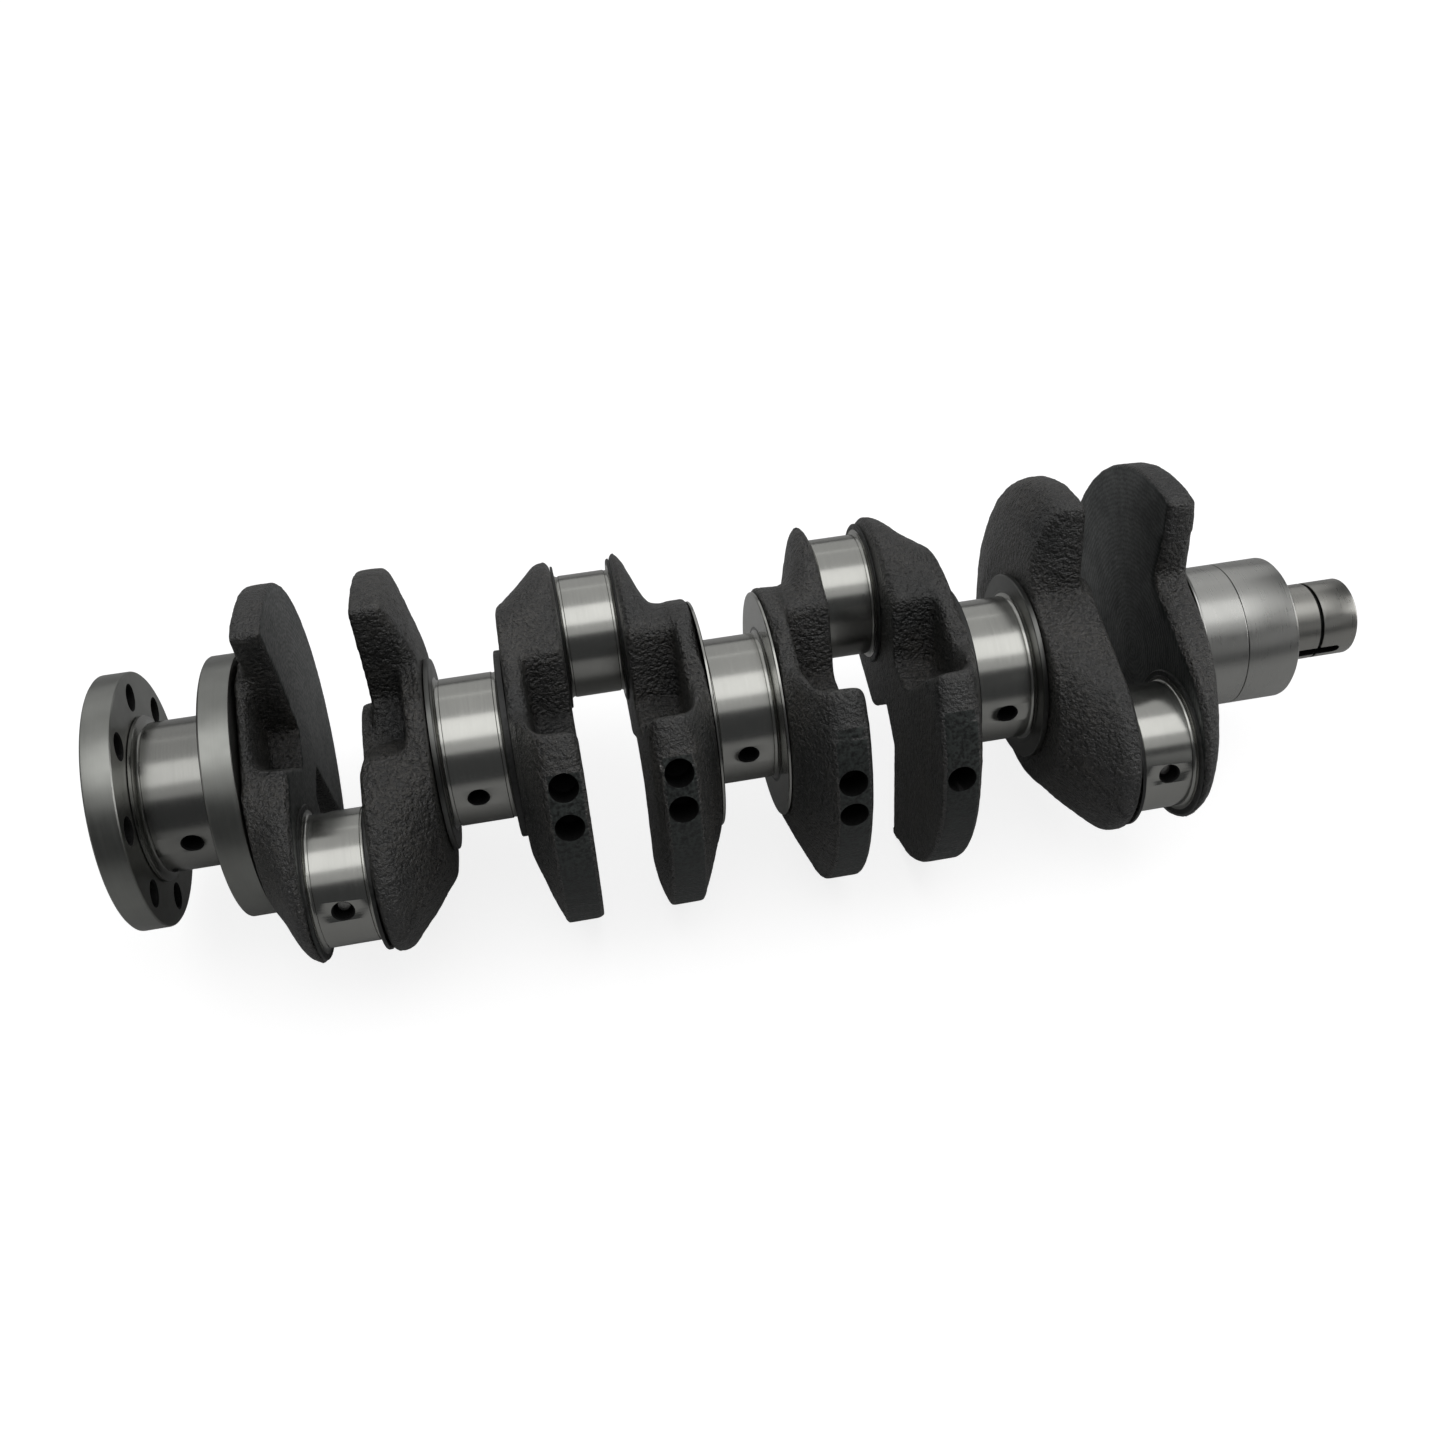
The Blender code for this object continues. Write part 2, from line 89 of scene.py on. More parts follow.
# %% [markdown]
# Most operators work on whatever is selected, and the frame arrives selected. A tiny helper that
# clears the selection, and one that picks a single piece, save a lot of surprises later.

# %% Selection helpers
def deselect():
    bpy.ops.object.select_all(action="DESELECT")


def pick(piece):
    deselect()
    piece.select_set(True)
    bpy.context.view_layer.objects.active = piece


deselect()

# %% [markdown]
# ## Finishes
#
# A finish here is a small network of nodes. Short helpers keep the wiring readable. The first two
# start a finish and add a node to it with its values set.

# %% Node helpers
def new_finish(name, metallic, roughness):
    finish = bpy.data.materials.new(name)
    finish.use_nodes = True
    shader = finish.node_tree.nodes["Principled BSDF"]
    shader.inputs["Metallic"].default_value = metallic
    shader.inputs["Roughness"].default_value = roughness
    return finish, finish.node_tree, shader


def add_node(tree, kind, values=None, **settings):
    made = tree.nodes.new(kind)
    for key, value in settings.items():
        setattr(made, key, value)
    for key, value in (values or {}).items():
        made.inputs[key].default_value = value
    return made

# %% [markdown]
# A ramp turns a grey pattern into colours or strengths, and a blend lays one colour over another.

# %% Ramps and blends
def ramp(tree, pattern, *stops):
    """Stops are (position, grey or colour), lowest position first."""
    made = tree.nodes.new("ShaderNodeValToRGB")
    elements = made.color_ramp.elements
    while len(elements) < len(stops):
        elements.new(0.99)
    for element, (position, colour) in zip(elements, stops):
        element.position = position
        shade = colour if isinstance(colour, tuple) else (colour,) * 3
        element.color = (*shade, 1.0)
    tree.links.new(pattern, made.inputs["Fac"])
    return made.outputs["Color"]


def blend_colours(tree, mode, share, first, second):
    made = add_node(tree, "ShaderNodeMix", data_type="RGBA", blend_type=mode)
    if isinstance(share, float):
        made.inputs[0].default_value = share
    else:
        tree.links.new(share, made.inputs[0])
    tree.links.new(first, made.inputs[6])
    if isinstance(second, tuple):
        made.inputs[7].default_value = (*second, 1.0)
    else:
        tree.links.new(second, made.inputs[7])
    return made.outputs[2]

# %% [markdown]
# Patterns need a place to read. Here it is always the object's own coordinates, which stay with the
# piece. A bump turns a pattern into relief that is too fine to model.

# %% Patterns, relief and place
def noise(tree, place, scale, detail=3.0, roughness=0.5, distortion=0.0):
    made = add_node(
        tree,
        "ShaderNodeTexNoise",
        {"Scale": scale, "Detail": detail, "Roughness": roughness, "Distortion": distortion},
    )
    tree.links.new(place, made.inputs["Vector"])
    return made.outputs["Fac"]


def bump(tree, height, strength, distance, under=None):
    made = add_node(tree, "ShaderNodeBump", {"Strength": strength, "Distance": distance})
    tree.links.new(height, made.inputs["Height"])
    if under is not None:
        tree.links.new(under, made.inputs["Normal"])
    return made.outputs["Normal"]


def object_place(tree, centre=(0.0, 0.0, 0.0), scale=(1.0, 1.0, 1.0)):
    """Object coordinates, measured from a centre and stretched."""
    coordinates = add_node(tree, "ShaderNodeTexCoord")
    moved = add_node(tree, "ShaderNodeMapping", {"Scale": scale})
    moved.inputs["Location"].default_value = [-c * s for c, s in zip(centre, scale)]
    tree.links.new(coordinates.outputs["Object"], moved.inputs["Vector"])
    return moved.outputs["Vector"]

# %% [markdown]
# ### Ground and turned steel
#
# A grinding wheel leaves hair-fine rings round a journal. The rings are a noise that changes
# quickly along X and very slowly round the shaft, so the place is squashed in Y and Z before the
# noise reads it. The same idea, with coarser rings and a duller surface, gives the turned flange.

# %% Steel finishes
def bright_steel(name, colour, roughness, ring_scale, ring_depth, mottle):
    finish, tree, shader = new_finish(name, 1.0, roughness)
    rings = noise(tree, object_place(tree, scale=(1.0, 0.02, 0.02)), ring_scale, 4.0, 0.65)
    cloud = noise(tree, object_place(tree), 45.0, 3.0, 0.6)
    handling = noise(tree, object_place(tree), 260.0, 2.0, 0.5)
    dark = tuple(c * (1 - mottle) for c in colour)
    light = tuple(min(1.0, c * (1 + mottle)) for c in colour)
    tone = ramp(tree, cloud, (0.3, dark), (0.7, light))
    lines = ramp(tree, rings, (0.3, 0.93), (0.7, 1.0))
    tone = blend_colours(tree, "MULTIPLY", 1.0, tone, lines)
    tree.links.new(tone, shader.inputs["Base Color"])
    matt = ramp(tree, rings, (0.3, roughness * 0.88), (0.72, roughness * 1.12))
    smear = ramp(tree, handling, (0.35, 0.96), (0.75, 1.08))
    matt = blend_colours(tree, "MULTIPLY", 1.0, matt, smear)
    tree.links.new(matt, shader.inputs["Roughness"])
    tree.links.new(bump(tree, rings, ring_depth, 0.00004), shader.inputs["Normal"])
    return finish


ground_steel = bright_steel("ground_steel", (0.43, 0.43, 0.405), 0.20, 2600.0, 0.04, 0.05)
seat_steel = bright_steel("ground_seat_steel", (0.48, 0.48, 0.46), 0.30, 2300.0, 0.008, 0.02)
nose_steel = bright_steel("ground_nose_steel", (0.40, 0.395, 0.37), 0.30, 2300.0, 0.008, 0.03)
satin_steel = bright_steel("turned_satin_steel", (0.28, 0.284, 0.267), 0.33, 1500.0, 0.1, 0.12)
rear_steel = bright_steel("ground_rear_steel", (0.29, 0.29, 0.274), 0.22, 2600.0, 0.04, 0.06)
shoulder_steel = bright_steel("shoulder_steel", (0.15, 0.152, 0.145), 0.32, 1900.0, 0.08, 0.12)
plug_finish = bright_steel("pressed_plug_steel", (0.42, 0.415, 0.40), 0.30, 1800.0, 0.1, 0.1)

# %% [markdown]
# ### Forged skin
#
# Scale from the forge makes a skin like fine cast sugar: grains under a millimetre across, with
# broader lumps where the die was worn, a few pits and some bright nicks. Noises at three sizes and
# two cell patterns give that. `Pointiness` can find corners and concave places because the pieces
# are dense: the corners are painted lighter, partly as wear from rubbing and partly as a painted
# highlight, and the concave places get painted shade, a darker colour and a weaker reflection.

# %% Forged finish
def forged_finish(name, darkest, lightest, grain, roughness, shine):
    finish, tree, shader = new_finish(name, 0.0, roughness)
    place = object_place(tree)
    fine = noise(tree, place, 820.0, 3.0, 0.6)
    lumps = noise(tree, place, 270.0, 3.0, 0.6)
    patches = noise(tree, place, 38.0, 3.0, 0.6, 0.4)
    pits = add_node(tree, "ShaderNodeTexVoronoi", {"Scale": 260.0, "Randomness": 1.0})
    tree.links.new(place, pits.inputs["Vector"])
    tone = ramp(tree, patches, (0.32, darkest), (0.68, lightest))
    speckle = ramp(tree, fine, (0.40, 0.2), (0.60, 1.75))
    tone = blend_colours(tree, "MULTIPLY", 1.0, tone, speckle)
    edges = add_node(tree, "ShaderNodeNewGeometry").outputs["Pointiness"]
    # Painted shade: concave places get a darker colour and a weaker reflection.
    painted_hollow_shade = ramp(tree, edges, (0.44, 0.45), (0.495, 1.0))
    tone = blend_colours(tree, "MULTIPLY", 1.0, tone, painted_hollow_shade)
    gloss = ramp(tree, edges, (0.45, shine * 0.35), (0.5, shine))
    tree.links.new(gloss, shader.inputs["Specular IOR Level"])
    # Lighter convex edges: partly wear from rubbing, partly a painted highlight.
    rubbed_wear_and_highlight = ramp(tree, edges, (0.525, 0.0), (0.60, 0.55))
    tone = blend_colours(tree, "MIX", rubbed_wear_and_highlight, tone, tuple(c * 2.3 for c in lightest))
    nicks = add_node(tree, "ShaderNodeTexVoronoi", {"Scale": 75.0, "Randomness": 1.0})
    tree.links.new(place, nicks.inputs["Vector"])
    nick = ramp(tree, nicks.outputs["Distance"], (0.022, 1.0), (0.034, 0.0))
    nick = blend_colours(tree, "MULTIPLY", 1.0, nick, ramp(tree, patches, (0.56, 0.0), (0.6, 0.8)))
    tone = blend_colours(tree, "MIX", nick, tone, (0.30, 0.30, 0.28))
    tree.links.new(tone, shader.inputs["Base Color"])
    matt = ramp(tree, fine, (0.36, roughness * 0.78), (0.64, min(1.0, roughness * 1.3)))
    tree.links.new(matt, shader.inputs["Roughness"])
    hollow = ramp(tree, pits.outputs["Distance"], (0.04, 0.0), (0.22, 1.0))
    normal = bump(tree, lumps, grain * 0.5, 0.0012)
    normal = bump(tree, fine, grain, 0.0017, normal)
    normal = bump(tree, hollow, grain * 0.28, 0.0003, normal)
    tree.links.new(normal, shader.inputs["Normal"])
    return finish


forged_skin = forged_finish(
    "forged_skin", (0.003, 0.004, 0.0037), (0.027, 0.0247, 0.021), 0.95, 0.36, 1.0
)
rim_skin = forged_finish(
    "counterweight_rim", (0.011, 0.0145, 0.0132), (0.022, 0.0265, 0.0245), 0.25, 0.48, 0.6
)
# Painted shade: a nearly black skin for shoulder bands beside the inner webs and round the pins, and
# for the nose's groove.
painted_shade_band = forged_finish(
    "painted_shade_band", (0.007, 0.008, 0.0075), (0.014, 0.0145, 0.0135), 0.08, 0.42, 0.5
)

# %% [markdown]
# ### Milled face
#
# The inner faces of the two end webs were faced by a wide cutter. Each pass leaves faint arcs, so
# rings round the crank's axis are bent by some noise and fade in and out.

# %% Milled finish
def milled_finish():
    finish, tree, shader = new_finish("milled_face", 0.85, 0.4)
    place = object_place(tree, centre=(0.0, AXIS.x, AXIS.y))
    arcs = add_node(
        tree,
        "ShaderNodeTexWave",
        {"Scale": 190.0, "Distortion": 5.0, "Detail": 3.0, "Detail Scale": 2.2},
        wave_type="RINGS",
        rings_direction="X",
    )
    tree.links.new(place, arcs.inputs["Vector"])
    cloud = noise(tree, object_place(tree), 60.0, 4.0, 0.65, 0.6)
    fine = noise(tree, object_place(tree), 900.0, 2.0, 0.5)
    tone = ramp(tree, cloud, (0.3, (0.045, 0.051, 0.050)), (0.72, (0.135, 0.142, 0.139)))
    streak = ramp(tree, arcs.outputs["Fac"], (0.2, 0.72), (0.8, 1.12))
    tone = blend_colours(tree, "MULTIPLY", 0.8, tone, streak)
    tree.links.new(tone, shader.inputs["Base Color"])
    tree.links.new(ramp(tree, fine, (0.3, 0.34), (0.7, 0.5)), shader.inputs["Roughness"])
    normal = bump(tree, arcs.outputs["Fac"], 0.4, 0.0001)
    tree.links.new(bump(tree, fine, 0.12, 0.0001, normal), shader.inputs["Normal"])
    return finish


milled_face = milled_finish()

# %% [markdown]
# ### Drilled holes
#
# The drill's walls are painted nearly black: painted shade inside the holes, with some oil. The
# finish has fine rings.

# %% Drilled finish
def drilled_finish():
    finish, tree, shader = new_finish("shaded_drill_wall", 0.0, 0.6)
    rings = noise(tree, object_place(tree), 1400.0, 3.0, 0.6)
    shader.inputs["Specular IOR Level"].default_value = 0.2
    # Painted shade: the walls are nearly black.
    tree.links.new(ramp(tree, rings, (0.3, 0.002), (0.7, 0.007)), shader.inputs["Base Color"])
    tree.links.new(ramp(tree, rings, (0.3, 0.55), (0.7, 0.8)), shader.inputs["Roughness"])
    tree.links.new(bump(tree, rings, 0.2, 0.0002), shader.inputs["Normal"])
    return finish


shaded_drill_wall = drilled_finish()
print("finishes:", len(bpy.data.materials))

# %% [markdown]
# ## The lathe
#
# Anything round starts as a filled circle standing on the shaft's line. It is extruded along X to
# the next step and the new ring is scaled to that step's radius, again and again, the way a turner
# works along the bar. The same lathe also makes the drills, since a drill is a turned tool.

# %% A lathe made of extrude and scale
ROUND_SIDES = 144


def turn(name, centre, steps, finish, sides=ROUND_SIDES, sharp=26.0):
    """Steps are (along, radius) in metres, the first at the lowest X."""
    deselect()
    (x, radius), *rest = steps
    bpy.ops.mesh.primitive_circle_add(
        vertices=sides, radius=radius, fill_type="NGON",
        location=(x, *centre), rotation=(0.0, pi / 2, 0.0),
    )
    piece = bpy.context.object
    piece.name = name
    bpy.ops.object.mode_set(mode="EDIT")
    bpy.ops.mesh.select_all(action="SELECT")
    for next_x, next_radius in rest:
        bpy.ops.mesh.extrude_region_move(
            TRANSFORM_OT_translate={"value": (next_x - x, 0.0, 0.0)}
        )
        scale = next_radius / radius
        bpy.ops.transform.resize(value=(1.0, scale, scale), center_override=(next_x, *centre))
        x, radius = next_x, next_radius
    bpy.ops.mesh.select_all(action="SELECT")
    bpy.ops.mesh.normals_make_consistent(inside=False)
    bpy.ops.object.mode_set(mode="OBJECT")
    bpy.ops.object.transform_apply(location=True, rotation=True, scale=True)
    bpy.ops.object.shade_smooth_by_angle(angle=radians(sharp))
    piece.data.materials.append(finish)
    return piece

# %% [markdown]
# A drill is turned at the origin, pointing along X, with a flare behind its edge that leaves the
# small chamfer round a hole's mouth. Then it is aimed and the cut is applied. The exact solver can
# hand the drill's dark finish, which is painted shade, over to the walls that it cuts.

# %% A drill
def aimed(piece, mouth, direction):
    piece.rotation_mode = "QUATERNION"
    piece.rotation_quaternion = Vector((1.0, 0.0, 0.0)).rotation_difference(direction)
    piece.location = mouth
    pick(piece)
    bpy.ops.object.transform_apply(location=True, rotation=True, scale=True)
    return piece


def drill_bit(mouth, direction, radius, depth, flare, tip=True):
    steps = [(-2.0, radius + flare + 2.0), (flare, radius), (depth, radius)]
    if tip:
        steps.append((depth + radius * 0.5, 0.15))
    steps = [(x * MM, r * MM) for x, r in steps]
    return aimed(turn("bit", (0.0, 0.0), steps, shaded_drill_wall, sides=48), mouth, direction)

# %% [markdown]
# A drilled face is one big polygon with holes, and smooth shading would bend its light round them.
# Faces that look straight along the shaft are shaded flat, in turned pieces and after every cut.

# %% Cutting
SQUARE_TO_SHAFT = 0.9995


def square_faces_flat(piece):
    """Shade faces square to the shaft flat, so that big drilled faces show no false dents."""
    for polygon in piece.data.polygons:
        if abs(polygon.normal.x) > SQUARE_TO_SHAFT:
            polygon.use_smooth = False
    piece.data.update()


def cut(piece, *cutters):
    """Take the cutters out of a piece, then throw them away."""
    for cutter in cutters:
        pick(piece)
        bpy.ops.object.modifier_add(type="BOOLEAN")
        modifier = piece.modifiers[-1]
        modifier.operation = "DIFFERENCE"
        modifier.solver = "EXACT"
        modifier.material_mode = "TRANSFER"
        modifier.object = cutter
        bpy.ops.object.modifier_apply(modifier=modifier.name)
        bpy.data.objects.remove(cutter, do_unlink=True)
    square_faces_flat(piece)

# %% [markdown]
# Some pieces carry two finishes, and every finished piece takes the place of one frame node.

# %% Dressing and handing over
def dress(piece, finish, belongs):
    """Give another finish to the faces that a test picks by place and direction."""
    piece.data.materials.append(finish)
    index = len(piece.data.materials) - 1
    picked = [p for p in piece.data.polygons if belongs(p.center, p.normal)]
    for polygon in picked:
        polygon.material_index = index
    return len(picked)


def hand_over(piece, node):
    """The piece takes a frame node's place and rides with the crank."""
    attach(piece, "root")
    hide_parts(node)
    print(node, "->", piece.name, len(piece.data.polygons), "faces")

# %% [markdown]
# ## The flywheel end
#
# The flange is a plain disc with a narrow chamfer, eight bolt holes on one circle and a recess for
# the gearbox's pilot. The holes are copied round the axis by angle, one drill each.

# %% Flywheel flange
FLANGE_RADIUS = 42.4
FLANGE_THICK = 9.3
BOLT_CIRCLE = 34.5
BOLT_HOLE_RADIUS = 4.1
BOLT_HOLE_FLARE = 0.5
PILOT_RADIUS = 11.0
PILOT_DEPTH = 7.0


def bar(name, steps, finish, toward=0.0, sides=ROUND_SIDES):
    """Turn a piece from (along, radius) in millimetres, on the axis or on a thrown line."""
    centre = at(0.0, toward).yz
    metres = [(FLANGE_FACE_X + x * MM, r * MM) for x, r in steps]
    piece = turn(name, centre, metres, finish, sides)
    square_faces_flat(piece)
    return piece


flange = bar("flange_disc", [
    (0.0, FLANGE_RADIUS - 0.6),
    (0.5, FLANGE_RADIUS - 0.05),
    (0.8, FLANGE_RADIUS),
    (FLANGE_THICK - 0.7, FLANGE_RADIUS),
    (FLANGE_THICK - 0.35, FLANGE_RADIUS - 0.08),
    (FLANGE_THICK, FLANGE_RADIUS - 0.45),
], satin_steel, sides=180)
for k in range(8):
    angle = 2 * pi * k / 8
    mouth = at(0.0, BOLT_CIRCLE * cos(angle), BOLT_CIRCLE * sin(angle))
    far = at(FLANGE_THICK, BOLT_CIRCLE * cos(angle), BOLT_CIRCLE * sin(angle))
    forward = Vector((1.0, 0.0, 0.0))
    through = drill_bit(
        mouth, forward, BOLT_HOLE_RADIUS, FLANGE_THICK + 2.0, BOLT_HOLE_FLARE, tip=False
    )
    relief = drill_bit(far, -forward, BOLT_HOLE_RADIUS, 1.0, BOLT_HOLE_FLARE, tip=False)
    cut(flange, through, relief)
pilot = drill_bit(at(0.0), Vector((1.0, 0.0, 0.0)), PILOT_RADIUS, PILOT_DEPTH, 0.6, tip=False)
cut(flange, pilot)
hand_over(flange, "flywheel_flange")

# %% [markdown]
# ## Journals and pins
#
# A bearing seat ends in a small rolled groove, which stops cracks from starting in the corner, and
# then climbs to the shoulder beside it. The function walks outwards from the seat's middle and
# returns the steps of one end. Mirrored, they make the other end.

# %% One end of a bearing seat
def seat_end(half, radius, shoulder_at, shoulder_radius, reach):
    """Steps from the ground seat out to the web, as (distance from the middle, radius)."""
    groove = radius - 0.28
    curve = min(1.25, shoulder_at - half + 0.55)
    centre_out = shoulder_at - 0.1 - curve
    steps = [(centre_out - 0.55, radius), (centre_out - 0.3, groove), (centre_out, groove)]
    for k in range(1, 7):
        a = radians(90 * k / 6)
        steps.append((centre_out + curve * sin(a), groove + curve * (1 - cos(a))))
    climb = min(shoulder_radius - 0.5, groove + curve + 0.9)
    steps += [(shoulder_at - 0.1, climb), (shoulder_at, climb + 0.12)]
    steps += [(shoulder_at, shoulder_radius - 0.3), (shoulder_at + 0.3, shoulder_radius)]
    steps.append((reach, shoulder_radius))
    return steps


def seat(centre, left, right):
    """Both ends put together, lowest X first."""
    back = [(centre - distance, radius) for distance, radius in reversed(left)]
    return back + [(centre + distance, radius) for distance, radius in right]

# %% [markdown]
# Oil reaches each bearing through a slanted drilling whose mouth shows on the seat. The mains are
# drilled at one angle and the pins at another.

# %% Oil mouths
OIL_RADIUS = 3.1
OIL_DEPTH = 10.5
OIL_FLARE = 0.55


def oil_mouth(piece, along, toward, radius, angle):
    a = radians(angle)
    outward = cos(a) * TOWARD + sin(a) * ACROSS
    mouth = at(along, toward) + outward * radius * MM
    cut(piece, drill_bit(mouth, -outward, OIL_RADIUS, OIL_DEPTH, OIL_FLARE))


def darken_shoulders(piece, finish, toward, beyond, upto=99.0, half="both", middle_at=0.0):
    """The band round a seat's shoulder gets a darker finish; the nearly black one is painted shade.
    """
    line = at(0.0, toward).yz

    def on_shoulder(centre, normal):
        out = (centre.yz - line).length / MM
        offset = (centre.x - FLANGE_FACE_X) / MM - middle_at
        return beyond < out < upto and (half == "both" or (offset > 0) == (half == "high"))

    return dress(piece, finish, on_shoulder)


MAIN_OIL_ANGLE = 160.0
PIN_OIL_ANGLE = 145.0
MAIN_RADIUS = 25.0
PIN_RADIUS = 21.6

# %% [markdown]
# The rear main is one list of steps, (distance along the shaft, radius), from the flange's side to
# the collar's. Its two dips of a quarter millimetre are the rolled grooves.

# %% Rear main journal
rear_main = bar("rear_main", [
    (9.6, 27.6), (10.5, 27.6), (10.7, 27.4), (10.8, 26.4), (11.0, 25.6), (11.4, 25.0),
    (11.8, 24.75), (12.2, 24.75), (12.5, 25.0),
    (32.4, 25.0), (32.7, 24.75), (33.1, 24.75), (33.5, 25.0), (33.8, 25.6), (34.0, 26.4),
    (34.1, 27.4), (34.3, 27.6), (34.7, 27.6),
], rear_steel)
oil_mouth(rear_main, 23.7, 0.0, MAIN_RADIUS, MAIN_OIL_ANGLE)
hand_over(rear_main, "main_journal_1_rear")

# %% [markdown]
# A wide turned collar stands between the rear main and web 1. Its edges are slightly bevelled.

# %% Collar beside web 1
collar = bar("seal_collar", [
    (35.0, 42.8), (35.3, 43.3), (35.7, 43.5), (44.2, 43.5), (44.6, 43.4), (44.8, 43.1),
], satin_steel, sides=180)
hand_over(collar, "rear_collar")

# %% [markdown]
# Mains 2 to 4 sit midway between two pins. Their shoulders differ: a plain ring beside most webs,
# and the wide thrust face on both sides of the centre main, where a washer takes the end load.

# %% Main journals 2 to 4
PIN_X = [(centre.x - FLANGE_FACE_X) / MM for centre in PIN_CENTRES]
MAIN_X = [(a + b) / 2 for a, b in zip(PIN_X, PIN_X[1:])]
PLAIN_REACH = (PIN_X[1] - PIN_X[0]) / 2 - 33.3
plain = seat_end(8.5, MAIN_RADIUS, 9.7, 32.4, PLAIN_REACH)
beside_bevel = seat_end(8.5, MAIN_RADIUS, 11.3, 31.8, PLAIN_REACH + 2.0)
thrust = seat_end(8.5, MAIN_RADIUS, 10.5, 38.8, PLAIN_REACH)
for number, left, right in ((2, plain, beside_bevel), (3, thrust, thrust), (4, beside_bevel, plain)):
    x = MAIN_X[number - 2]
    journal = bar(f"main_{number}", seat(x, left, right), ground_steel)
    oil_mouth(journal, x, 0.0, MAIN_RADIUS, MAIN_OIL_ANGLE)
    darken_shoulders(journal, shoulder_steel, 0.0, 26.3, 32.6)
    # The shoulders that face the inner webs get painted shade.
    if number != 3:
        toward_inner_web = "high" if number == 2 else "low"
        darken_shoulders(journal, painted_shade_band, 0.0, 26.3, 32.6, toward_inner_web, x)
    hand_over(journal, f"main_journal_{number}")

# %% [markdown]
# Pins are seats off the axis. `thrown` puts pins 1 and 4 on one side and pins 2 and 3 on the other.
# The oil plugs keep the frame's own shape and only get a finish.

# %% Crankpins
pin_end = seat_end(9.05, PIN_RADIUS, 9.45, 25.2, 10.25)
deep_end = seat_end(9.05, PIN_RADIUS, 9.45, 25.2, 10.7)
for number, x in enumerate(PIN_X, 1):
    thrown = THROW / MM * (-1 if number in (1, 4) else 1)
    left = deep_end if number == 4 else pin_end
    right = deep_end if number == 1 else pin_end
    pin = bar(f"pin_{number}", seat(x, left, right), ground_steel, toward=thrown)
    angle = PIN_OIL_ANGLE if thrown < 0 else PIN_OIL_ANGLE - 180.0
    oil_mouth(pin, x, thrown, PIN_RADIUS, angle)
    # The pins' shoulder bands get painted shade.
    darken_shoulders(pin, painted_shade_band, thrown, 22.9)
    hand_over(pin, f"crankpin_{number}")
    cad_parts[f"oil_plug_{number}"].data.materials.clear()
    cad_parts[f"oil_plug_{number}"].data.materials.append(plug_finish)

# %% [markdown]
# ## The nose
#
# The front main and the gear seat are one ground cylinder with a hairline between them. The gear
# seat has a socket in its end for the nose's spigot.

# %% Front main and gear seat
front_main = bar("front_main", [
    (361.2, 31.0), (361.6, 31.2), (362.0, 31.1), (362.25, 30.6), (362.3, 27.0), (362.5, 26.0),
    (362.8, 25.3), (363.2, 25.0), (379.2, 25.0), (379.4, 24.9),
], seat_steel)
hand_over(front_main, "main_journal_5_front")
gear_seat = bar("gear_seat_ground", [
    (379.7, 24.9), (379.9, 25.0), (397.2, 25.0), (397.7, 24.85), (398.4, 24.1),
], seat_steel)
SPIGOT_START = 395.7
GEAR_SEAT_END = 398.4
SOCKET_RADIUS = 13.8
SOCKET_DEPTH = 3.0
back = Vector((-1.0, 0.0, 0.0))
socket = drill_bit(at(GEAR_SEAT_END), back, SOCKET_RADIUS, SOCKET_DEPTH, 0.05, tip=False)
cut(gear_seat, socket)
hand_over(gear_seat, "gear_seat")

# %% [markdown]
# The nose is stepped down. It has one narrow dark groove and a bolt bore in its end.

# %% Nose
NOSE_RADIUS = 13.5
NOSE_BORE_RADIUS = 5.1
NOSE_BORE_DEPTH = 24.0
nose = bar("nose_ground", [
    (SPIGOT_START, 13.1), (399.3, 13.1), (399.7, NOSE_RADIUS), (412.4, NOSE_RADIUS),
    (412.5, 13.3), (412.6, 12.7), (413.6, 12.7), (413.7, 13.3),
    (413.8, NOSE_RADIUS), (425.7, NOSE_RADIUS), (426.2, 13.3), (426.6, 12.8),
], nose_steel)


def in_groove(centre, normal):
    along = (centre.x - FLANGE_FACE_X) / MM
    return 412.45 < along < 413.75 and (centre.yz - AXIS).length / MM < 13.45


# The groove is painted nearly black, as shade inside it.
dress(nose, painted_shade_band, in_groove)
cut(nose, drill_bit(at(426.6), back, NOSE_BORE_RADIUS, NOSE_BORE_DEPTH, 0.8))

# %% [markdown]
# The slot for the key is cut by a block whose far end is rounded, by a bevel as wide as half the
# slot. Only the two upright edges at that end are bevelled.

# %% Keyway
deselect()
key_length, key_width, key_floor = 24.3, 4.0, 10.9
bpy.ops.mesh.primitive_cube_add(size=1.0)
key_cutter = bpy.context.object
key_cutter.scale = (key_length * MM, 6.0 * MM, key_width * MM)
bpy.ops.object.transform_apply(location=False, rotation=False, scale=True)
bpy.ops.object.mode_set(mode="EDIT")
bpy.ops.mesh.select_mode(type="EDGE")
bpy.ops.mesh.select_all(action="DESELECT")
bpy.ops.object.mode_set(mode="OBJECT")
for edge in key_cutter.data.edges:
    ends = [key_cutter.data.vertices[v].co for v in edge.vertices]
    edge.select = all(co.x > 0 for co in ends) and abs(ends[0].z - ends[1].z) < 1e-6
bpy.ops.object.mode_set(mode="EDIT")
bpy.ops.mesh.bevel(offset=key_width / 2 * 0.98 * MM, segments=8, affect="EDGES")
bpy.ops.object.mode_set(mode="OBJECT")
key_cutter.rotation_euler = (ROLL, 0.0, 0.0)
key_cutter.location = at(421.3 - key_length / 2, -key_floor - 3.0)
pick(key_cutter)
bpy.ops.object.transform_apply(location=True, rotation=True, scale=True)
# The slot's walls get the same painted shade as the drilled holes.
key_cutter.data.materials.append(shaded_drill_wall)
cut(nose, key_cutter)
hand_over(nose, "nose")

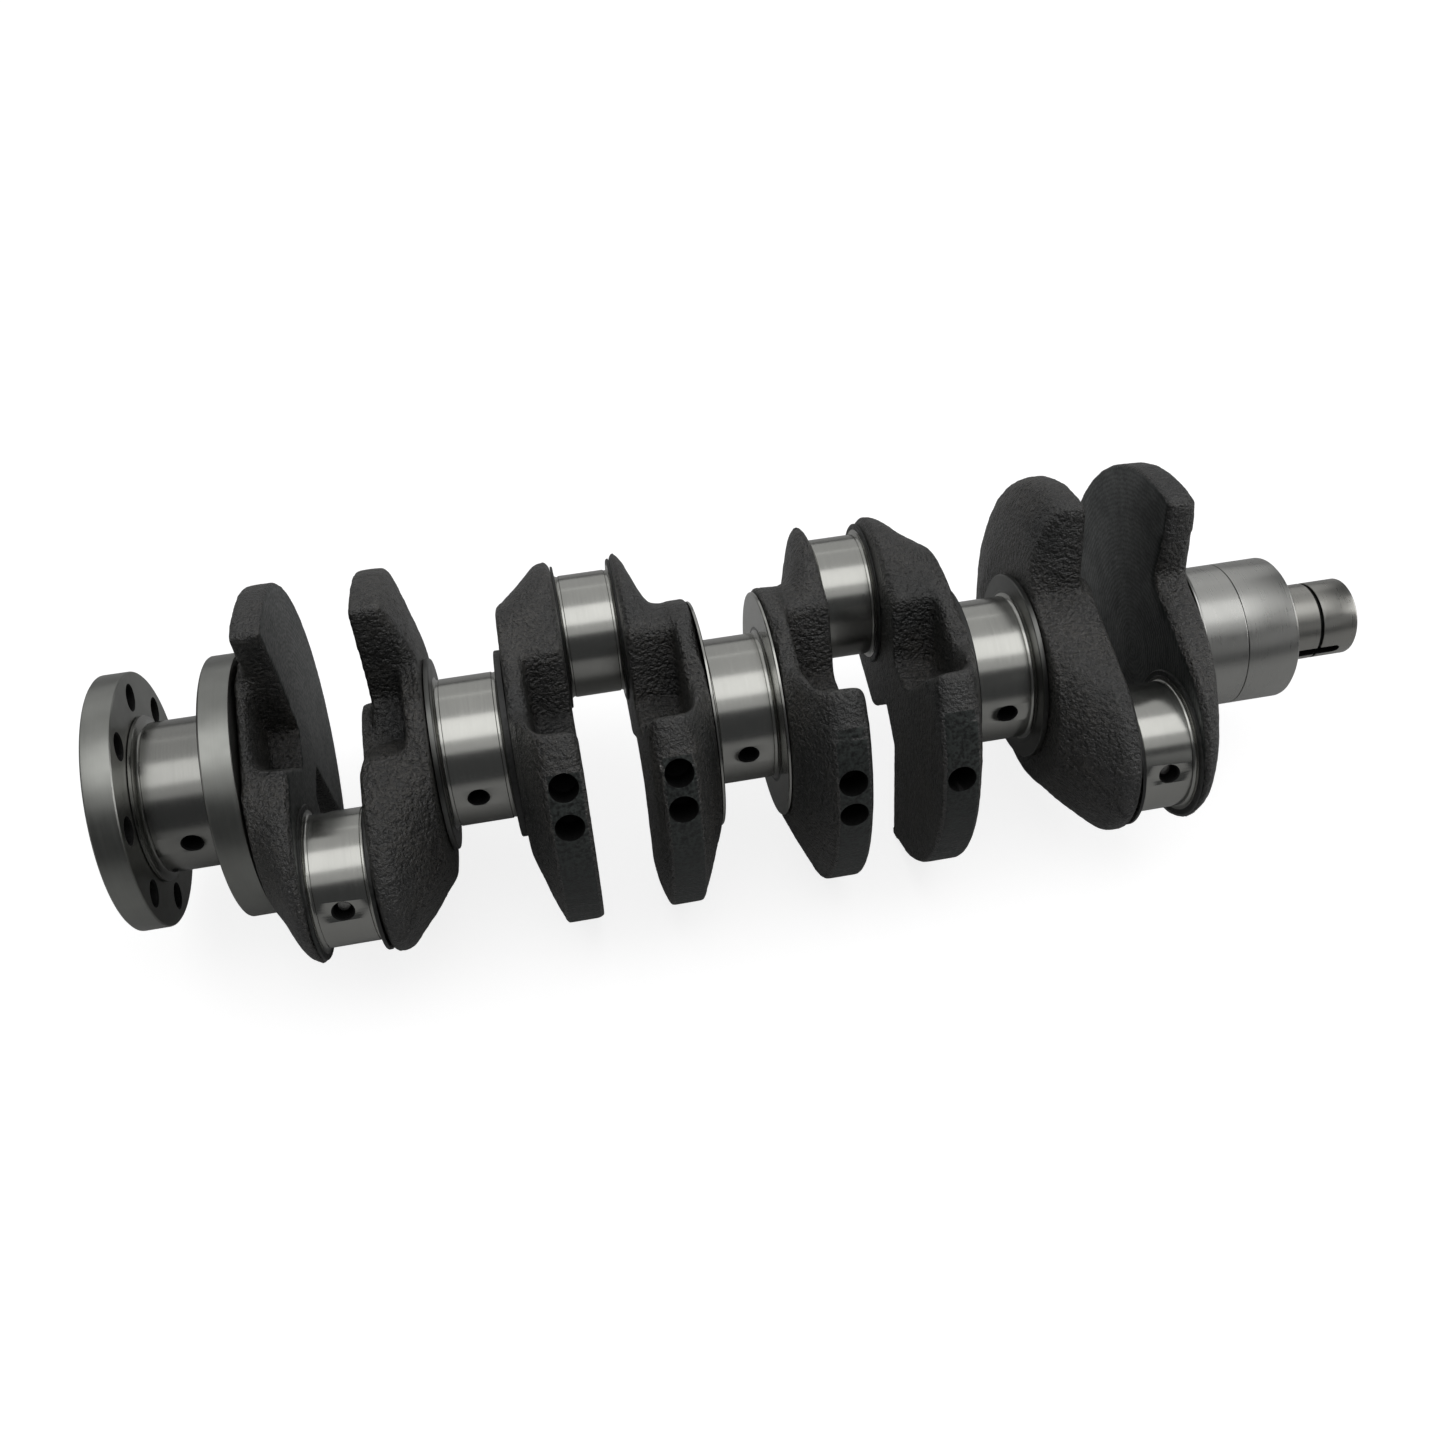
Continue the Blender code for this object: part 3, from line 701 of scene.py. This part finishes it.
# %% [markdown]
# ## The forge
#
# The frame's webs have the right size but the hard corners of a solid made of slices. A forging's
# corners are soft because hot steel doesn't fill a sharp one. So a copy of each web is merged,
# remeshed into small even faces, and relaxed. A weight for each point says how much it may relax:
# little where a cutter has been, all over the rest. Last, two gentle noises push the skin about,
# which is real relief and not only a trick of the light.

# %% Forge textures
def lump_texture(name, size, depth):
    texture = bpy.data.textures.new(name, "CLOUDS")
    texture.noise_scale = size
    texture.noise_depth = depth
    return texture


broad_lumps = lump_texture("broad_lumps", 0.011, 2)
small_lumps = lump_texture("small_lumps", 0.0022, 2)
FINE_VOXEL = 0.75 * MM
VOXEL = FINE_VOXEL

# %% [markdown]
# A modifier is added, set and applied in one go. Rounds of relaxing are counted for the fine mesh,
# and a coarser mesh needs fewer of them to move the skin as far.

# %% Modifiers and rounds
def apply_modifier(piece, kind, **settings):
    pick(piece)
    bpy.ops.object.modifier_add(type=kind)
    modifier = piece.modifiers[-1]
    for key, value in settings.items():
        setattr(modifier, key, value)
    bpy.ops.object.modifier_apply(modifier=modifier.name)


def rounds_for(voxel, rounds):
    return max(2, round(rounds * (FINE_VOXEL / voxel) ** 2))

# %% [markdown]
# The weights come from a point's place: how far it is from the axis, where it is along the shaft,
# and how far it is turned from the middle of the inner webs' rims.

# %% Weights
MEETING = 2.0
MEETING_WEIGHT = 0.35
RESTING = 3.0


def off_apex(place):
    """Angle, in degrees, between a place and the middle of the inner webs' rims."""
    arm = place.yz - AXIS
    toward = -arm.dot(TOWARD.yz)
    return abs(atan2(arm.dot(ACROSS.yz), toward)) * 180 / pi


def weigh(piece, weight):
    """Weigh each point by its place: (from the axis, along, off the apex).

    Close to the web's two end faces the weight stays low, so that the web still meets its
    neighbours' shoulders after it has been relaxed. The corners it lies on aren't relaxed at all,
    so that the finished crank still rests on the bench.
    """
    group = piece.vertex_groups.new(name="soft")
    baskets = {}
    reaches = [(vertex.co.x - FLANGE_FACE_X) / MM for vertex in piece.data.vertices]
    first, last = min(reaches), max(reaches)
    for vertex in piece.data.vertices:
        out = (vertex.co.yz - AXIS).length / MM
        along = (vertex.co.x - FLANGE_FACE_X) / MM
        value = weight(out, along, off_apex(vertex.co))
        if min(along - first, last - along) < MEETING:
            value = min(value, MEETING_WEIGHT)
        if vertex.co.z < RESTING * MM:
            value = 0.0
        baskets.setdefault(round(value, 1), []).append(vertex.index)
    for value, members in baskets.items():
        group.add(members, value, "REPLACE")

# %% [markdown]
# A drilled hole would be relaxed into a ragged dent. So holes are first closed with short rods, and
# drilled again at the end. Knocked corners get a second relaxing of their own.

# %% Closing holes and rounding corners
ROD_RADIUS = 5.0
ROD_LENGTH = 13.2
ROD_MIDDLE = 6.7


def fill_holes(piece, mouths):
    """Close drilled holes with short rods, so that a web can be relaxed whole and drilled again."""
    for mouth, outward in mouths:
        deselect()
        middle_of_rod = mouth - outward * ROD_MIDDLE * MM
        turned = outward.to_track_quat("Z", "Y").to_euler()
        bpy.ops.mesh.primitive_cylinder_add(
            vertices=48, radius=ROD_RADIUS * MM, depth=ROD_LENGTH * MM,
            location=middle_of_rod, rotation=turned,
        )
        rod = bpy.context.object
        bpy.ops.object.transform_apply(location=True, rotation=True, scale=True)
        deselect()
        rod.select_set(True)
        piece.select_set(True)
        bpy.context.view_layer.objects.active = piece
        bpy.ops.object.join()


def round_off(piece, belongs, rounds):
    """Relax one region further, where a corner was knocked round."""
    group = piece.vertex_groups.new(name="corner")
    members = []
    for vertex in piece.data.vertices:
        upper = vertex.co.z > AXIS.y
        if upper and belongs((vertex.co.yz - AXIS).length / MM, off_apex(vertex.co)):
            members.append(vertex.index)
    group.add(members, 1.0, "REPLACE")
    steps = rounds_for(VOXEL, rounds)
    apply_modifier(piece, "SMOOTH", factor=0.5, iterations=steps, vertex_group="corner")

# %% [markdown]
# Forging itself goes merge, close the holes, remesh, relax, roughen. Both noises mostly push
# inwards, so that the finished web stays inside the frame's web.

# %% Forging a web
def forge(node, weight, softness, lumps, voxel=VOXEL, mouths=()):
    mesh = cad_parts[node].data.copy()
    piece = bpy.data.objects.new(f"{node}_forged", mesh)
    bpy.context.scene.collection.objects.link(piece)
    pick(piece)
    bpy.ops.object.mode_set(mode="EDIT")
    bpy.ops.mesh.select_all(action="SELECT")
    bpy.ops.mesh.remove_doubles(threshold=0.00001)
    bpy.ops.object.mode_set(mode="OBJECT")
    fill_holes(piece, mouths)
    apply_modifier(piece, "REMESH", mode="VOXEL", voxel_size=voxel)
    weigh(piece, weight)
    apply_modifier(piece, "SMOOTH", factor=0.5, iterations=3, vertex_group="soft")
    steps = rounds_for(voxel, softness)
    apply_modifier(piece, "SMOOTH", factor=0.5, iterations=steps, vertex_group="soft")
    for texture, strength in ((broad_lumps, 0.5 * lumps), (small_lumps, 0.45 * lumps)):
        apply_modifier(
            piece, "DISPLACE", texture=texture, texture_coords="LOCAL",
            strength=strength * MM, mid_level=0.75, vertex_group="soft",
        )
    bpy.ops.object.shade_smooth_by_angle(angle=radians(42))
    mesh = piece.data
    mesh.materials.clear()
    mesh.materials.append(forged_skin)
    for polygon in mesh.polygons:
        polygon.material_index = 0
    return piece

# %% [markdown]
# ### End webs
#
# Webs 1 and 8 have a machined inner face, the one that looks at the pin. The test picks faces that
# look straight along X and lie near that side.

# %% Webs 1 and 8
WAIST_OUT = (28.0, 52.0)
WAIST_TURN = (55.0, 125.0)
WAIST_ROUNDS = 60


def in_waist(out, turn_off):
    return WAIST_OUT[0] < out < WAIST_OUT[1] and WAIST_TURN[0] < turn_off < WAIST_TURN[1]


for node, pin_number, side in (("web_1", 0, -1), ("web_8", 3, 1)):
    inner = PIN_X[pin_number] + side * 10.2

    def end_weight(out, along, turn_off, inner=inner):
        return 0.1 if abs(along - inner) < 1.8 else 0.9

    web = forge(node, end_weight, 60, 0.8)
    round_off(web, in_waist, WAIST_ROUNDS)

    def on_inner_face(centre, normal, inner=inner, side=side):
        near = abs((centre.x - FLANGE_FACE_X) / MM - inner) < 0.8
        return near and normal.x * side < -0.93

    print(node, "milled faces:", dress(web, milled_face, on_inner_face))
    hand_over(web, node)

# %% [markdown]
# ### Webs 2 and 7
#
# These stay as forged all over. Where the two dies met, a thin line of flash was squeezed out and
# trimmed, and its stump crosses the lower bevel as a low ridge. Points near that line are lifted
# along their own normals, most at the line and less with distance.

# %% Webs 2 and 7
FLASH_LINE = ((30.5, 44.5, 8.9), (24.8, 53.5, 8.9), (19.8, 60.8, 5.5), (13.7, 65.3, 0.2))
FLASH_HEIGHT = 0.5
FLASH_WIDTH = 0.48
FLASH_REACH = 3.0


def distance_to_line(place, corners):
    nearest = 1.0
    for start, end in zip(corners, corners[1:]):
        run = end - start
        share = max(0.0, min(1.0, (place - start).dot(run) / run.length_squared))
        nearest = min(nearest, (place - start - run * share).length)
    return nearest


def raise_flash_line(piece, pin_at, side):
    """The line is given from the pin's middle: (towards the main, out from the axis, across)."""
    planned = [at(pin_at + side * u, -out, across) for u, out, across in FLASH_LINE]
    corners = []
    for start, end in zip(planned, planned[1:]):
        for k in range(8):
            corners.append(piece.closest_point_on_mesh(start.lerp(end, k / 8))[1])
    moved = max((piece.closest_point_on_mesh(c)[1] - c).length for c in planned) / MM
    print(piece.name, "flash line lies up to", round(moved, 2), "mm off the relaxed skin")
    mesh = piece.data
    lifts = []
    for vertex in mesh.vertices:
        far = distance_to_line(vertex.co, corners) / MM
        if far < FLASH_REACH:
            height = FLASH_HEIGHT * MM * exp(-(far / FLASH_WIDTH) ** 2)
            lifts.append((vertex.index, vertex.normal * height))
    for index, lift in lifts:
        mesh.vertices[index].co += lift
    print(piece.name, "flash line points:", len(lifts))


def even_weight(out, along, turn_off):
    return 1.0


for node, pin_number, side in (("web_2", 0, 1), ("web_7", 3, -1)):
    web = forge(node, even_weight, 40, 1.0, voxel=VOXEL * 0.8)
    raise_flash_line(web, PIN_X[pin_number], side)
    hand_over(web, node)

# %% [markdown]
# ### Inner webs
#
# The rims of webs 3 to 6 were turned to size, so they are smooth, their edges are crisp, and they
# have their own finish. The balancing drills go in last so that their mouths stay sharp.

# %% Webs 3 to 6
INNER_RIM = 63.0
BALANCE_RADIUS = 4.6
BALANCE_DEPTH = 12.0
BALANCE_FLARE = 0.2
CORNER_OUT = 50.0
CORNER_TURN = (49.0, 75.0)
CORNER_ROUNDS = 110
BALANCE_DRILLS = {
    "web_3": (PIN_X[1] - 17.0, (45.0, 33.0)),
    "web_4": (PIN_X[1] + 17.9, (44.0, 33.0)),
    "web_5": (PIN_X[2] - 18.4, (32.5, 21.5)),
    "web_6": (PIN_X[2] + 16.4, (28.0,)),
}


def rim_weight(out, along, turn_off):
    return 0.15 if out > INNER_RIM - 1.5 and turn_off < 46.0 else 1.0


def in_corner(out, turn_off):
    return out > CORNER_OUT and CORNER_TURN[0] < turn_off < CORNER_TURN[1]


def on_rim(centre, normal):
    outward = Vector((0.0, *(centre.yz - AXIS))).normalized()
    turned_off = off_apex(centre) < 49.0 and (centre.yz - AXIS).length / MM > INNER_RIM - 1.5
    return turned_off and normal.dot(outward) > 0.93


for node, (along, angles) in BALANCE_DRILLS.items():
    mouths = []
    for degrees in angles:
        a = radians(180.0 - degrees)
        outward = cos(a) * TOWARD + sin(a) * ACROSS
        mouths.append((at(along) + outward * INNER_RIM * MM, outward))
    web = forge(node, rim_weight, 60, 0.9, mouths=mouths)
    round_off(web, in_corner, CORNER_ROUNDS)
    print(node, "rim faces:", dress(web, rim_skin, on_rim))
    size = (BALANCE_RADIUS, BALANCE_DEPTH, BALANCE_FLARE)
    cut(web, *[drill_bit(mouth, -outward, *size) for mouth, outward in mouths])
    hand_over(web, node)

# %% [markdown]
# ## Floor, light and camera
#
# The crank lies on a plain pale floor. A wide soft light overhead, with a brighter core, gives each
# seat its long soft highlight. A card behind lights the top edges, and small cards at the ends and
# front right show up the flange and the nose. Little light comes from the near side, which keeps
# the steel deep.

# %% Floor
deselect()
bpy.ops.mesh.primitive_plane_add(size=8.0, location=(0.0, 0.0, 0.0))
floor = bpy.context.object
floor.name = "studio_floor"
paper, paper_tree, paper_shader = new_finish("pale_paper", 0.0, 0.9)
paper_shader.inputs["Base Color"].default_value = (0.40, 0.40, 0.40, 1.0)
paper_shader.inputs["Emission Color"].default_value = (1.0, 1.0, 1.0, 1.0)
seen = add_node(paper_tree, "ShaderNodeLightPath").outputs["Is Camera Ray"]
glow = ramp(paper_tree, seen, (0.0, 0.0), (1.0, 0.82))
paper_tree.links.new(glow, paper_shader.inputs["Emission Strength"])
floor.data.materials.append(paper)

# %% [markdown]
# Each light is a soft rectangle that looks at the middle of the crank. The room itself gives the
# steel very little light, but the camera sees it as a pale background.

# %% Light
def soft_light(name, location, width, height, power):
    deselect()
    bpy.ops.object.light_add(type="AREA", location=location)
    light = bpy.context.object
    light.name = name
    light.data.shape = "RECTANGLE"
    light.data.size = width
    light.data.size_y = height
    light.data.energy = power
    aim = Vector((0.0, 0.0, 0.05)) - Vector(location)
    light.rotation_euler = aim.to_track_quat("-Z", "Y").to_euler()
    return light


soft_light("overhead_wide", (0.0, 0.10, 1.30), 2.4, 2.8, 11.6)
soft_light("overhead_core", (0.0, -0.12, 1.15), 1.6, 0.7, 3.5)
soft_light("back_card", (0.0, 1.60, 0.70), 3.0, 1.1, 5.2)
soft_light("right_card", (1.5, -0.1, 0.6), 0.9, 0.8, 5.5)
soft_light("front_right_card", (0.95, -1.1, 0.60), 0.7, 0.5, 0.24)
soft_light("left_card", (-1.4, -0.1, 0.6), 0.8, 0.8, 0.9)
world = bpy.data.worlds.new("studio")
world.use_nodes = True
backdrop = world.node_tree.nodes["Background"]
backdrop.inputs["Color"].default_value = (0.95, 0.97, 1.0, 1.0)
seen = add_node(world.node_tree, "ShaderNodeLightPath").outputs["Is Camera Ray"]
strength = ramp(world.node_tree, seen, (0.0, 0.07), (1.0, 0.95))
world.node_tree.links.new(strength, backdrop.inputs["Strength"])
bpy.context.scene.world = world
bpy.context.scene.view_settings.view_transform = "Standard"

# %% [markdown]
# The camera looks down from the near side and is rolled very slightly. Its shift moves the picture
# without turning the camera.

# %% Camera
bpy.ops.object.camera_add(
    location=(-0.069033, -0.326703, 0.434203),
    rotation=[radians(a) for a in (40.3126, 0.7115, -11.0982)],
)
camera = bpy.context.object
camera.data.lens = 36.168
camera.data.sensor_width = 36.0
camera.data.shift_x = -0.00782
camera.data.shift_y = 0.01243
camera.data.clip_start = 0.01
bpy.context.scene.camera = camera
